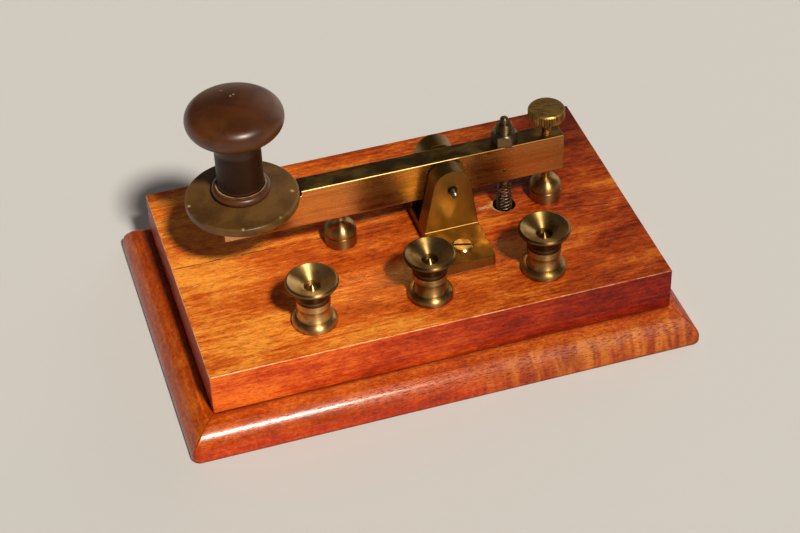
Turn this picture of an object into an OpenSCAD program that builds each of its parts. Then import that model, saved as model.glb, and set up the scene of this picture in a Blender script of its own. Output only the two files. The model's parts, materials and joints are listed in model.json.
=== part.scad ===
// Telegraph key: a rocking brass lever in a cast bridge, on a block and plinth of polished wood.
// The lever lies along X with the knob at -X, Y points away from the operator, Z is up, and the
// origin is the centre of the plinth's underside. All sizes are in millimetres.

/* [Wooden base] */
// From the knob's axis to the left end of the block
knob_margin = 24.9; // [20:0.1:40]
// From the back contact's axis to the right end of the block
contact_margin = 25; // [16:0.1:40]
// From the row of terminals to the near edge of the block
terminal_margin = 15; // [10:0.1:30]
// From the lever's centre line to the far edge of the block
far_margin = 45.2; // [34:0.1:60]
// Thickness of the block
block_h = 15.2; // [13:0.1:22]
// Wear radius on the block's edges
block_edge_r = 0.6; // [0.2:0.1:1.5]
// Thickness of the plinth, and the radius of its quarter-round edge
plinth_h = 10.4; // [8:0.1:14]
// Plan radius of the plinth's corners
plinth_corner_r = 3; // [1:0.1:6]
// Mean width of moulding that shows round the block
ledge_w = 8.65; // [6:0.05:14]
// How far the block sits to the right of the plinth's centre
block_off_x = 1; // [-2:0.1:2]
// How far the block sits behind the plinth's centre
block_off_y = 0.9; // [-2:0.1:2]
// Diameter of the wood screws that hold the plinth to the block
base_screw_d = 4; // [3:0.1:5]
// Depth that the wood screws bite into the block
base_screw_bite = 7.5; // [5:0.1:9]
// Distance of the wood screws from the ends and sides of the block
base_screw_inset = 14; // [10:0.5:18]

/* [Bridge] */
// Width of the bridge casting, along the lever
bridge_w = 18.5; // [16:0.1:24]
// Thickness of the casting's foot plate
foot_t = 4; // [3:0.1:6]
// How far the foot plate's middle lies ahead of the pivot
foot_lead = 0.6; // [0:0.1:2]
// Reach of each foot beyond its cheek
foot_l = 17.9; // [14:0.1:24]
// Plan radius of the foot plate's corners
foot_corner_r = 1.2; // [0.5:0.1:3]
// Thickness of each cheek
cheek_t = 6.4; // [4:0.1:8]
// Gap between the lever and each cheek
cheek_gap = 0.6; // [0.3:0.05:1]
// Radius of the arch on top of each cheek
arch_r = 6.3; // [5:0.1:8]
// Height of the arch's centre above the pivot
arch_rise = 1.1; // [0:0.1:2]
// Distance of each foot screw from the cheek's outer face
foot_screw_reach = 9.6; // [7:0.1:11]
// Diameter of a foot screw's countersunk head
foot_screw_head_d = 6.8; // [6:0.1:8]

/* [Pivot] */
// Height of the pivot above the block
pivot_h = 19.5; // [17:0.1:26]
// Diameter of the pivot pin
pivot_d = 2.2; // [1.8:0.1:3]
// Length of pin that stands out of each cheek
pivot_stub = 3.4; // [1:0.1:6]
// Width and depth of the countersink round the pin's holes
pivot_sink = 0.5; // [0.2:0.1:1]
// Radius of the hollow where a cheek meets its foot
foot_fillet_r = 0.5; // [0.3:0.1:1]
// Rise of the foot screws' heads above the foot
foot_screw_rise = 0.5; // [0.2:0.1:0.8]

/* [Lever] */
// Width of the lever bar
lever_w = 7.35; // [6:0.05:10]
// Height of the lever bar
lever_h = 13.8; // [11:0.1:16]
// How far the bar's middle lies below the pivot
lever_drop = 0; // [0:0.1:2]
// Radius on the bar's edges
lever_edge_r = 0.3; // [0.1:0.1:1]
// From the pivot to the knob's axis
knob_arm = 66.3; // [58:0.1:80]
// From the knob's axis to the bar's front end
lever_tip = 7.6; // [5:0.1:14]
// From the pivot to the front contact
hammer_arm = 35.2; // [28:0.1:42]
// From the pivot to the spring's rod
spring_arm = 21.3; // [18:0.1:24]
// From the pivot to the back contact
contact_arm = 35.8; // [33:0.1:44]
// From the back contact's axis to the bar's rear end
lever_tail = 4.9; // [4:0.1:12]
// Depth of the seat cut in the bar's top for the finger guard
seat_depth = 1.8; // [0.8:0.1:3]
// Diameter of the small drilled hole in the bar's near side
side_hole_d = 1.2; // [0.8:0.1:2]
// Depth of that hole
side_hole_depth = 1; // [0.5:0.1:1.2]
// Height of that hole above the bar's underside
side_hole_h = 4.6; // [2:0.1:9]
// How far that hole lies ahead of the spring's rod
side_hole_lead = 1.2; // [0:0.1:4]

/* [Contacts] */
// Diameter of the anvils
anvil_d = 10.6; // [9:0.1:13]
// Height of the anvils above the block
anvil_h = 8.2; // [6:0.1:10]
// Height at which an anvil's dome begins
anvil_waist_h = 4.6; // [2:0.1:5.5]
// Radius of the flat contact face on top of an anvil
anvil_face_r = 1.9; // [1.2:0.1:3]
// Diameter of the hammer under the lever
hammer_d = 4; // [3:0.1:5]
// Gap at the front contact while the key is at rest
contact_gap = 1; // [0.5:0.05:1.6]
// Diameter of the back-contact screw
thumb_screw_d = 2.8; // [2.4:0.1:3.6]
// Diameter of the back-contact screw's head
thumb_d = 12.2; // [10:0.1:16]
// Thickness of that head
thumb_t = 4; // [2.5:0.1:5]
// Height of the head's underside above the lever
thumb_lift = 5.8; // [3:0.1:10]
// Number of ribs in the head's straight knurl
thumb_ribs = 44; // [24:1:60]
// Depth of the knurl
knurl_depth = 0.3; // [0.2:0.05:0.5]

/* [Knob] */
// Diameter of the knob's mushroom head
knob_d = 31; // [26:0.1:40]
// Radius of the roll round the head's rim
knob_rim_r = 4.4; // [3:0.1:5.5]
// Rise of the head's top above the middle of its rim
knob_dome_h = 6.2; // [5.8:0.1:10]
// Drop of the head's underside below the middle of its rim
knob_under_h = 6; // [5.8:0.1:9]
// Diameter of the knob's neck
neck_d = 14.8; // [12:0.1:18]
// Length of the neck, from the guard to the head's underside
neck_l = 22.5; // [14:0.1:28]
// Radius of the hollow under the head
neck_fillet_r = 2.2; // [1:0.1:3]
// Diameter of the bead at the neck's foot
bead_d = 18.8; // [17.6:0.1:23]
// Radius of the bead's roll
bead_r = 1.45; // [1:0.05:1.8]
// Width of the thin lip on top of the bead
lip_w = 0.4; // [0.3:0.05:0.6]
// Height of that lip
lip_h = 0.45; // [0.2:0.05:0.8]
// Diameter of the finger guard
guard_d = 36.3; // [30:0.1:46]
// Thickness of the finger guard at its rim
guard_t = 3.1; // [2.4:0.1:4]
// Rise of the guard's top from its rim to the knob
guard_crown = 1.3; // [0.5:0.1:2]
// Radius on the guard's edges
guard_edge_r = 0.8; // [0.4:0.1:1.1]
// Diameter of the stud that holds the knob
knob_stud_d = 4.7; // [3:0.1:5.5]
// Depth of that stud in the lever
knob_stud_sink = 9; // [6:0.1:10]
// Length of that stud inside the knob
knob_stud_reach = 14; // [8:0.1:17]

/* [Spring] */
// Diameter of the spring's rod, where it is threaded
rod_d = 4.7; // [4:0.1:5]
// Diameter of the rod below the lever
rod_tip_d = 3.2; // [2.6:0.1:3.6]
// Length of rod above the lever
rod_rise = 9.5; // [8:0.1:14]
// Diameter of the plain point on top of the rod
rod_point_d = 2.8; // [2:0.1:3.4]
// Length of that point
rod_point_h = 2.4; // [1.5:0.1:3.5]
// Height of the rod's lower end above the block
rod_end_h = 9.2; // [7.5:0.1:11]
// Width of the tension nut across its flats
rod_nut_af = 7.6; // [7:0.1:9.5]
// Height of the tension nut
rod_nut_h = 4; // [3:0.1:5]
// How far the tension nut is turned from square with the lever
rod_nut_turn = -18; // [-30:1:30]
// Diameter of the spring wire
wire_d = 0.8; // [0.6:0.05:0.9]
// Mean radius of the lowest curl
coil_low_r = 2.85; // [2.4:0.05:3.2]
// Mean radius of the highest curl
coil_high_r = 2.4; // [2:0.05:2.8]
// Number of full curls
coil_turns = 8; // [5:1:9]
// Share of the rise that is even; the rest opens the curls towards the top
coil_even = 0.8; // [0.6:0.05:1]
// Diameter of the hole in the block round the spring
spring_hole_d = 7.4; // [7:0.1:9]
// Diameter of the anchor plug's flange
anchor_d = 12; // [11:0.1:14]
// Thickness of the anchor plug's flange
anchor_t = 2; // [1.5:0.1:3]
// Rise of the anchor plug's boss above its flange
anchor_boss_h = 2.4; // [1.5:0.1:3]

/* [Terminals] */
// Distance between terminals
terminal_pitch = 38.1; // [30:0.1:45]
// How far the middle terminal lies ahead of the pivot
terminal_lead = 15.6; // [14:0.1:19]
// From the front edge of the bridge's foot to the row of terminals
terminal_gap = 6.2; // [4:0.1:14]
// Diameter of a post's foot
post_d = 14.5; // [13:0.1:16]
// Diameter of a post's top
post_top_d = 10.9; // [10:0.1:12.5]
// Height of a post
post_h = 9.6; // [8:0.1:13]
// Height of the straight band at a post's foot
post_band_h = 1; // [0.5:0.1:2]
// Radius of the shoulder above that band
post_shoulder_r = 1.6; // [0.8:0.1:2]
// Depth of the hollow round a post's waist
post_hollow = 0.6; // [0.3:0.1:1]
// Height of the collar round a post's top
post_collar_h = 1.3; // [0.8:0.1:2]
// Diameter of a dished nut's rim
dish_d = 16.8; // [15:0.1:20]
// Height of a dished nut
dish_h = 7.3; // [6:0.1:9]
// Radius of the roll round a dished nut's rim
dish_rim_r = 0.8; // [0.5:0.05:1]
// Depth of the dish
dish_depth = 2.6; // [1.5:0.1:3]
// Diameter of the well at the bottom of the dish
dish_well_d = 5.4; // [4.6:0.1:7]
// Depth of that well
dish_well_h = 1.6; // [0.8:0.1:2]
// Diameter of a dished nut's boss
dish_boss_d = 11; // [10:0.1:12]
// Height of a dished nut's boss
dish_boss_h = 1.6; // [1:0.1:2]
// Length of the stud's pointed end
stud_point_h = 1.9; // [1:0.1:2.5]
// Rise of the stud's tip above the floor of the well
stud_rise = 2; // [1:0.1:3]

/* [Fastenings] */
// Diameter of the studs and foot screws
stud_d = 3.6; // [3:0.1:4.2]
// Width of the small nuts across their flats
nut_af = 6.4; // [5.8:0.1:7.5]
// Height of the small nuts
nut_h = 2.4; // [2:0.1:3]
// Diameter of the washers under the small nuts
washer_d = 8.4; // [8:0.1:9]
// Thickness of the washers
washer_t = 0.6; // [0.4:0.1:1]
// Width of the brass straps under the block
strap_w = 7; // [6:0.1:8]
// Thickness of the straps
strap_t = 1; // [0.6:0.1:1.5]
// How far the screws' slots are turned from the lever's line
slot_turn = 164; // [0:1:180]
// Length of thread below each small nut
thread_end = 0.6; // [0.3:0.1:1]
// Radial clearance of threads and studs in their holes
thread_gap = 0.05; // [0.03:0.01:0.1]
// Radial clearance of the pivot pin in the cheeks
pivot_gap = 0.04; // [0.02:0.01:0.08]
// Clearance under pieces that turn or lift, and at the closed back contact
turn_gap = 0.05; // [0.03:0.01:0.1]
// Clearance between the finger guard and the shoulder of its seat
seat_gap = 0.2; // [0.1:0.05:0.5]
// Clearance round pieces let into the underside of the block
recess_gap = 0.5; // [0.3:0.1:1]

/* [Hidden] */
$fn = 64;
eps = 0.01;
// How far a cut runs past the face that it opens
cut_past = 1;

// Places along the lever, from the pivot
x_knob = -knob_arm;
x_front = -hammer_arm;
x_spring = spring_arm;
x_rear = contact_arm;
lever_l = lever_tip + knob_arm + contact_arm + lever_tail;

// Places across the lever, from its centre line
cheek_in = lever_w / 2 + cheek_gap;
cheek_out = cheek_in + cheek_t;
foot_end = cheek_out + foot_l;
y_foot_screw = cheek_out + foot_screw_reach;
y_row = -foot_end - terminal_gap;

// The block is as large as what stands on it needs
block_l = knob_margin + knob_arm + contact_arm + contact_margin;
block_w = terminal_margin - y_row + far_margin;
plinth_l = block_l + 2 * ledge_w;
plinth_w = block_w + 2 * ledge_w;
pivot_x = block_off_x - block_l / 2 + knob_margin + knob_arm;
pivot_y = block_off_y + block_w / 2 - far_margin;
top_z = plinth_h + block_h;

// Heights above the block
lever_bottom = pivot_h - lever_drop - lever_h / 2;
lever_top = lever_bottom + lever_h;
seat_z = lever_top - seat_depth;
knob_z = seat_z + guard_t + guard_crown;
hammer_z = anvil_h + contact_gap;
nut_seat = post_h + turn_gap;
well_z = nut_seat + dish_h - dish_depth - dish_well_h;

// What lies under the block
recess_h = strap_t + washer_t + nut_h + thread_end + recess_gap;
ceiling = recess_h - block_h;
stud_foot = ceiling - strap_t - washer_t - nut_h - thread_end;
washer_r = washer_d / 2;
terminal_xs = [for (i = [-1, 0, 1]) i * terminal_pitch - terminal_lead];
strapped = [
    [terminal_xs[0], y_row], [terminal_xs[1], y_row], [terminal_xs[2], y_row],
    [x_front, 0], [0, -y_foot_screw], [x_rear, 0]
];
unstrapped = [[0, y_foot_screw]];
strap_ends = [for (i = [0, 1, 2]) [strapped[i], strapped[i + 3]]];

brass = [0.71, 0.56, 0.28];
old_brass = [0.55, 0.43, 0.22];
steel = [0.25, 0.24, 0.23];
mahogany = [0.62, 0.27, 0.09];
moulding = [0.55, 0.25, 0.09];
ebonite = [0.17, 0.10, 0.06];
fibre = [0.25, 0.21, 0.14];
copper = [0.72, 0.42, 0.24];

// Shared shapes

// Frame of the mechanism: the pivot's foot point on top of the block
module on_block() {
    translate([pivot_x, pivot_y, top_z]) children();
}

// A rectangle with round corners, centred
module soft_square(size, r) {
    for (inset = [[r, 0], [0, r]]) {
        square([size[0] - 2 * inset[0], size[1] - 2 * inset[1]], center = true);
    }
    for (sx = [-1, 1], sy = [-1, 1]) {
        translate([sx * (size[0] / 2 - r), sy * (size[1] / 2 - r)]) circle(r);
    }
}

// A bar with every edge rounded, centred in X and Y, standing on Z = 0
module soft_bar(l, w, h, r) {
    translate([0, 0, h / 2]) intersection() {
        linear_extrude(h, center = true) soft_square([l, w], r);
        rotate([90, 0, 0]) linear_extrude(w, center = true) soft_square([l, h], r);
        rotate([90, 0, 90]) linear_extrude(l, center = true) soft_square([w, h], r);
    }
}

// A drilled hole from z0 up to z1
module hole(d, z0, z1) {
    translate([0, 0, z0]) cylinder(d = d, h = z1 - z0);
}

// A clearance hole for a stud, from z0 up to z1
module stud_hole(z0, z1, d = stud_d) {
    hole(d + 2 * thread_gap, z0, z1);
}

// A countersunk screw head with its face at Z = 0, pointing down
module screw_head(d, shank_d) {
    mirror([0, 0, 1]) cylinder(d1 = d, d2 = shank_d, h = (d - shank_d) / 2);
}

// The cut of a screwdriver slot in a head with its face at Z = 0
module slot(d) {
    slot_w = d / 7;
    rotate(slot_turn) translate([0, 0, -slot_w])
        linear_extrude(2 * slot_w) square([d + cut_past, slot_w], center = true);
}

// A hexagonal nut with its corners turned off at the top
module hex_nut(af, h, bore_d) {
    corner_d = af / cos(30);
    turned_h = (corner_d - af) / 2;
    difference() {
        intersection() {
            cylinder(d = corner_d, h = h, $fn = 6);
            union() {
                cylinder(d = corner_d, h = h - turned_h);
                translate([0, 0, h - turned_h]) cylinder(d1 = corner_d, d2 = af - turned_h, h = turned_h);
            }
        }
        hole(bore_d, -cut_past, h + cut_past);
    }
}

// The wooden base

// Quarter-round edge profile of the plinth, w wide
module plinth_profile(w) {
    translate([-w / 2 + plinth_h, 0]) square([w - 2 * plinth_h, plinth_h]);
    intersection() {
        for (s = [-1, 1]) {
            translate([s * (w / 2 - plinth_h), 0]) circle(plinth_h, $fn = 96);
        }
        translate([-w / 2, 0]) square([w, plinth_h]);
    }
}

// Turns and moves its children from the X axis to the line between two points
module along(ends) {
    run = ends[1] - ends[0];
    translate(ends[0]) rotate(atan2(run[1], run[0])) children();
}

// A flat strip of width w, as long as the distance between two points
module strip(ends, w) {
    translate([0, -w / 2]) square([norm(ends[1] - ends[0]), w]);
}

// Puts its children at the four wood screws
module at_base_screws() {
    for (sx = [-1, 1], sy = [-1, 1]) {
        translate([
            block_off_x + sx * (block_l / 2 - base_screw_inset),
            block_off_y + sy * (block_w / 2 - base_screw_inset),
            0
        ]) children();
    }
}

module base_screw(d, bite) {
    head_d = 2 * d;
    point_h = d / 2;
    mirror([0, 0, 1]) screw_head(head_d, d);
    cylinder(d = d, h = plinth_h + bite - point_h);
    translate([0, 0, plinth_h + bite - point_h]) cylinder(d1 = d, d2 = d / 4, h = point_h);
}

module plinth() {
    color(moulding) difference() {
        intersection() {
            rotate([90, 0, 0]) linear_extrude(plinth_w, center = true) plinth_profile(plinth_l);
            rotate([90, 0, 90]) linear_extrude(plinth_l, center = true) plinth_profile(plinth_w);
            linear_extrude(plinth_h) soft_square([plinth_l, plinth_w], plinth_corner_r);
        }
        at_base_screws() {
            stud_hole(-cut_past, plinth_h + cut_past, base_screw_d);
            mirror([0, 0, 1]) screw_head(2 * base_screw_d + 2 * thread_gap, base_screw_d);
        }
    }
}

// Plan of what is hollowed out under the block: a pocket at each stud and the spring, joined by channels
module recess_plan() {
    for (p = concat(strapped, unstrapped)) {
        translate(p) circle(d = washer_d + 2 * recess_gap);
    }
    translate([x_spring, 0]) circle(d = anchor_d + 2 * recess_gap);
    for (ends = strap_ends) {
        along(ends) strip(ends, strap_w + 2 * recess_gap);
    }
}

module block() {
    color(mahogany) difference() {
        translate([block_off_x, block_off_y, plinth_h]) soft_bar(block_l, block_w, block_h, block_edge_r);
        on_block() {
            translate([0, 0, -block_h - cut_past]) linear_extrude(recess_h + cut_past) recess_plan();
            for (p = concat(strapped, unstrapped)) {
                translate(p) stud_hole(-block_h - cut_past, cut_past);
            }
            translate([x_spring, 0, 0]) hole(spring_hole_d, -block_h - cut_past, cut_past);
        }
        at_base_screws() stud_hole(0, plinth_h + base_screw_bite + thread_gap, base_screw_d);
    }
}

module base_screws() {
    color(steel) at_base_screws() difference() {
        base_screw(base_screw_d, base_screw_bite);
        mirror([0, 0, 1]) slot(2 * base_screw_d);
    }
}

// The bridge

// Where a line up from [x, foot_t] touches the arch, for a foot corner on either side of the pivot
function arch_touch(x) =
    let (
        rise = pivot_h + arch_rise - foot_t,
        lean = acos(arch_r / norm([x, rise])) - atan2(rise, abs(x))
    )
    [sign(x) * arch_r * cos(lean), pivot_h + arch_rise + arch_r * sin(lean)];

// Outline of a cheek, seen along the pivot: sides that run up tangent to the arch
module cheek_outline() {
    left = -bridge_w / 2 - foot_lead;
    right = bridge_w / 2 - foot_lead;
    translate([0, pivot_h + arch_rise]) circle(arch_r);
    polygon([
        [left, 0], [right, 0], [right, foot_t], arch_touch(right), arch_touch(left), [left, foot_t]
    ]);
}

// Section of the near cheek, seen along the lever, with the hollow that joins it to the foot
module cheek_section() {
    translate([-cheek_out, 0]) square([cheek_t, pivot_h + arch_rise + arch_r + cut_past]);
    translate([-cheek_out, foot_t]) mirror([1, 0]) difference() {
        square(foot_fillet_r);
        translate([foot_fillet_r, foot_fillet_r]) circle(foot_fillet_r);
    }
}

module cheek() {
    intersection() {
        translate([0, -cheek_in, 0]) rotate([90, 0, 0])
            linear_extrude(cheek_t + foot_fillet_r) cheek_outline();
        translate([-foot_lead, 0, 0]) rotate([90, 0, 90])
            linear_extrude(bridge_w + 2 * cut_past, center = true) cheek_section();
    }
}

module bridge() {
    pivot_hole_r = pivot_d / 2 + pivot_gap;
    color(brass) on_block() difference() {
        union() {
            translate([-foot_lead, 0, 0])
                linear_extrude(foot_t) soft_square([bridge_w, 2 * foot_end], foot_corner_r);
            for (end = [0, 1]) {
                mirror([0, end, 0]) cheek();
            }
        }
        translate([0, 0, pivot_h]) rotate([90, 0, 0])
            cylinder(r = pivot_hole_r, h = 2 * (cheek_out + cut_past), center = true);
        for (end = [0, 1]) {
            mirror([0, end, 0]) translate([0, -cheek_out, pivot_h]) rotate([-90, 0, 0])
                cylinder(r1 = pivot_hole_r + pivot_sink, r2 = pivot_hole_r, h = pivot_sink);
        }
        for (s = [-1, 1]) {
            translate([0, s * y_foot_screw, 0]) {
                stud_hole(-cut_past, foot_t + cut_past);
                translate([0, 0, foot_t]) screw_head(foot_screw_head_d + 2 * thread_gap, stud_d);
            }
        }
    }
}

module bridge_screws() {
    face_d = foot_screw_head_d - 2 * foot_screw_rise;
    color(old_brass) on_block() for (s = [-1, 1]) {
        strap_under = s < 0 ? strap_t : 0;
        translate([0, s * y_foot_screw, foot_t]) difference() {
            union() {
                cylinder(d1 = foot_screw_head_d, d2 = face_d, h = foot_screw_rise);
                screw_head(foot_screw_head_d, stud_d);
                hole(stud_d, stud_foot + strap_t - strap_under - foot_t, 0);
            }
            translate([0, 0, foot_screw_rise]) slot(foot_screw_head_d);
        }
    }
}

module pivot_pin() {
    dome = pivot_d / 4;
    pin_l = 2 * (cheek_out + pivot_stub);
    color(steel) on_block() translate([0, 0, pivot_h]) rotate([90, 0, 0]) {
        cylinder(d = pivot_d, h = pin_l - 2 * dome, center = true);
        for (end = [0, 1]) {
            mirror([0, 0, end]) translate([0, 0, pin_l / 2 - dome])
                cylinder(d1 = pivot_d, d2 = pivot_d - 2 * dome, h = dome);
        }
    }
}

// The lever and what it carries

module lever() {
    seat_l = guard_d / 2 + seat_gap;
    color(brass) on_block() difference() {
        translate([-knob_arm - lever_tip + lever_l / 2, 0, lever_bottom])
            soft_bar(lever_l, lever_w, lever_h, lever_edge_r);
        translate([0, 0, pivot_h]) rotate([90, 0, 0])
            cylinder(d = pivot_d + 2 * thread_gap, h = lever_w + 2 * cut_past, center = true);
        translate([x_knob, 0, 0]) stud_hole(seat_z - knob_stud_sink, lever_top + cut_past, knob_stud_d);
        translate([x_front, 0, 0]) stud_hole(lever_bottom - cut_past, lever_bottom + lever_h / 2);
        translate([x_spring, 0, 0]) stud_hole(lever_bottom - cut_past, lever_top + cut_past, rod_d);
        translate([x_rear, 0, 0]) stud_hole(lever_bottom - cut_past, lever_top + cut_past, thumb_screw_d);
        translate([x_knob - guard_d, -lever_w, seat_z])
            cube([guard_d + seat_l, 2 * lever_w, seat_depth + cut_past]);
        translate([x_spring - side_hole_lead, -lever_w / 2 + side_hole_depth, lever_bottom + side_hole_h])
            rotate([90, 0, 0]) cylinder(d = side_hole_d, h = side_hole_depth + cut_past);
    }
}

// A short contact button with a threaded tail up inside the lever
module hammer() {
    bevel = hammer_d / 10;
    color(old_brass) on_block() translate([x_front, 0, 0]) {
        translate([0, 0, hammer_z]) cylinder(d1 = hammer_d - 2 * bevel, d2 = hammer_d, h = bevel);
        hole(hammer_d, hammer_z + bevel, lever_bottom);
        hole(stud_d, lever_bottom, lever_bottom + lever_h / 2 - thread_gap);
    }
}

// Profile of the knob's head: a domed top and a flatter underside, both tangent to a rolled rim
module knob_head(rim_z) {
    rim_x = knob_d / 2 - knob_rim_r;
    over = knob_dome_h - knob_rim_r;
    under = knob_under_h - knob_rim_r;
    over_drop = (rim_x * rim_x - over * over) / (2 * over);
    under_drop = (rim_x * rim_x - under * under) / (2 * under);
    top_r = over_drop + knob_dome_h;
    low_r = under_drop + knob_under_h;
    top_touch = [rim_x, over_drop] * knob_rim_r / norm([rim_x, over_drop]);
    low_touch = [rim_x, -under_drop] * knob_rim_r / norm([rim_x, under_drop]);
    translate([0, rim_z]) {
        translate([rim_x, 0]) circle(knob_rim_r);
        intersection() {
            translate([0, -over_drop]) circle(top_r, $fn = 128);
            translate([0, under_drop]) circle(low_r, $fn = 128);
            polygon([
                [0, -knob_under_h - cut_past], [rim_x + low_touch[0], -knob_under_h - cut_past],
                [rim_x + low_touch[0], low_touch[1]], [rim_x, 0],
                [rim_x + top_touch[0], top_touch[1]], [rim_x + top_touch[0], knob_dome_h + cut_past],
                [0, knob_dome_h + cut_past]
            ]);
        }
    }
}

module knob() {
    fillet_x = neck_d / 2 + neck_fillet_r;
    color(ebonite) on_block() translate([x_knob, 0, knob_z]) rotate_extrude() difference() {
        union() {
            knob_head(neck_l + knob_under_h);
            square([neck_d / 2, neck_l + knob_under_h]);
            difference() {
                translate([0, neck_l - neck_fillet_r]) square([fillet_x, neck_fillet_r + knob_rim_r / 4]);
                translate([fillet_x, neck_l - neck_fillet_r]) circle(neck_fillet_r);
            }
            translate([bead_d / 2 - bead_r, bead_r]) circle(bead_r);
            square([bead_d / 2 - bead_r, 2 * bead_r]);
            translate([bead_d / 2 - bead_r - lip_w / 2, bead_r]) square([lip_w, bead_r + lip_h]);
        }
        square([knob_stud_d / 2 + thread_gap, knob_stud_reach]);
    }
}

// Disc with softened edges and a top that rises to the knob's bead
module finger_guard() {
    r = guard_d / 2;
    crown_r = bead_d / 2 - bead_r;
    color(fibre) on_block() translate([x_knob, 0, seat_z]) rotate_extrude() difference() {
        union() {
            square([r - guard_edge_r, guard_t]);
            translate([0, guard_edge_r]) square([r, guard_t - 2 * guard_edge_r]);
            for (z = [guard_edge_r, guard_t - guard_edge_r]) {
                translate([r - guard_edge_r, z]) circle(guard_edge_r);
            }
            translate([0, guard_t]) polygon([
                [0, 0], [r - guard_edge_r, 0], [crown_r, guard_crown], [0, guard_crown]
            ]);
        }
        square([knob_stud_d / 2 + thread_gap, guard_t + guard_crown]);
    }
}

module knob_stud() {
    color(steel) on_block() translate([x_knob, 0, 0])
        hole(knob_stud_d, seat_z - knob_stud_sink, knob_z + knob_stud_reach - thread_gap);
}

// Profile of a turned stud of diameter d from z0 to z1, with a rounded top end
module round_ended(d, z0, z1) {
    cap = d / 4;
    square_top = z1 - cap;
    translate([0, z0]) square([d / 2, square_top - z0]);
    translate([0, square_top]) square([d / 2 - cap, cap]);
    intersection() {
        translate([d / 2 - cap, square_top]) circle(cap);
        translate([0, square_top]) square([d / 2, cap]);
    }
}

module spring_rod() {
    wire_hole_h = 2 * wire_d;
    color(old_brass) on_block() translate([x_spring, 0, 0]) rotate_extrude() difference() {
        union() {
            round_ended(rod_point_d, lever_top, lever_top + rod_rise);
            translate([0, lever_bottom]) square([rod_d / 2, lever_h + rod_rise - rod_point_h]);
            translate([0, rod_end_h]) square([rod_tip_d / 2, lever_bottom - rod_end_h]);
        }
        translate([0, rod_end_h]) square([wire_d / 2 + thread_gap, wire_hole_h]);
    }
}

module spring_nut() {
    color(old_brass) on_block() translate([x_spring, 0, lever_top + turn_gap]) rotate(rod_nut_turn)
        hex_nut(rod_nut_af, rod_nut_h, rod_d + 2 * thread_gap);
}

// Knurled disc, with both of its edges turned off
module thumb_head() {
    r = thumb_d / 2;
    bevel = 2 * knurl_depth;
    past = bevel + knurl_depth;
    step = 180 / thumb_ribs;
    intersection() {
        linear_extrude(thumb_t) polygon([
            for (i = [0 : 2 * thumb_ribs - 1])
                let (rr = r - (i % 2) * knurl_depth) [rr * cos(i * step), rr * sin(i * step)]
        ]);
        rotate_extrude() polygon([
            [0, 0], [r - bevel, 0], [r - bevel + past, past],
            [r - bevel + past, thumb_t - past], [r - bevel, thumb_t], [0, thumb_t]
        ]);
    }
}

module back_contact_screw() {
    tip_z = anvil_h + turn_gap;
    head_z = lever_top + thumb_lift;
    color(brass) on_block() translate([x_rear, 0, 0]) {
        hole(thumb_screw_d, tip_z, head_z + eps);
        translate([0, 0, head_z]) thumb_head();
    }
}

// Contacts and terminals on the block

// Turned anvil: a straight foot, a fine groove, a dome and a flat contact face
module anvil(x) {
    r = anvil_d / 2;
    groove = anvil_d / 40;
    dome_h = anvil_h - anvil_waist_h;
    flank = r - anvil_face_r;
    roll = (flank * flank + dome_h * dome_h) / (2 * flank);
    color(old_brass) on_block() translate([x, 0, 0]) rotate_extrude() {
        difference() {
            square([r, anvil_waist_h]);
            translate([r, anvil_waist_h - 2 * groove]) circle(groove);
        }
        intersection() {
            translate([r - roll, anvil_waist_h]) circle(roll);
            translate([anvil_face_r / 2, anvil_waist_h]) square([r, dome_h]);
        }
        square([anvil_face_r, anvil_h]);
        translate([0, stud_foot]) square([stud_d / 2, -stud_foot + eps]);
    }
}

module front_anvil() {
    anvil(x_front);
}

module rear_anvil() {
    anvil(x_rear);
}

// Puts its children at terminal i of the row
module at_terminal(i) {
    on_block() translate([terminal_xs[i], y_row, 0]) children();
}

// Turned post: banded foot, round shoulder, hollow waist and collar
module terminal_post(i) {
    r = post_d / 2;
    top_r = post_top_d / 2;
    waist_z = post_band_h + post_shoulder_r;
    waist_h = post_h - post_collar_h - waist_z;
    inner_r = r - post_shoulder_r;
    half_cove = waist_h / 2 - post_hollow;
    cove_r = (half_cove * half_cove + post_hollow * post_hollow) / (2 * post_hollow);
    color(old_brass) at_terminal(i) rotate_extrude() difference() {
        union() {
            square([r, post_band_h]);
            intersection() {
                translate([inner_r, post_band_h]) circle(post_shoulder_r);
                translate([0, post_band_h]) square([r, post_shoulder_r]);
            }
            square([inner_r, waist_z]);
            difference() {
                translate([0, waist_z]) polygon([
                    [0, 0], [inner_r, 0], [top_r, waist_h], [top_r, post_h - waist_z], [0, post_h - waist_z]
                ]);
                translate([max(inner_r, top_r) - post_hollow + cove_r, waist_z + waist_h / 2])
                    circle(cove_r, $fn = 96);
            }
        }
        square([stud_d / 2 + thread_gap, post_h]);
    }
}

// Threaded stud through the block and post, with a pointed end in the nut's well
module terminal_stud(i) {
    tip = well_z + stud_rise;
    r = stud_d / 2;
    color(brass) at_terminal(i) rotate_extrude() polygon([
        [0, stud_foot], [r, stud_foot], [r, tip - stud_point_h], [r / 8, tip], [0, tip]
    ]);
}

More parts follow.
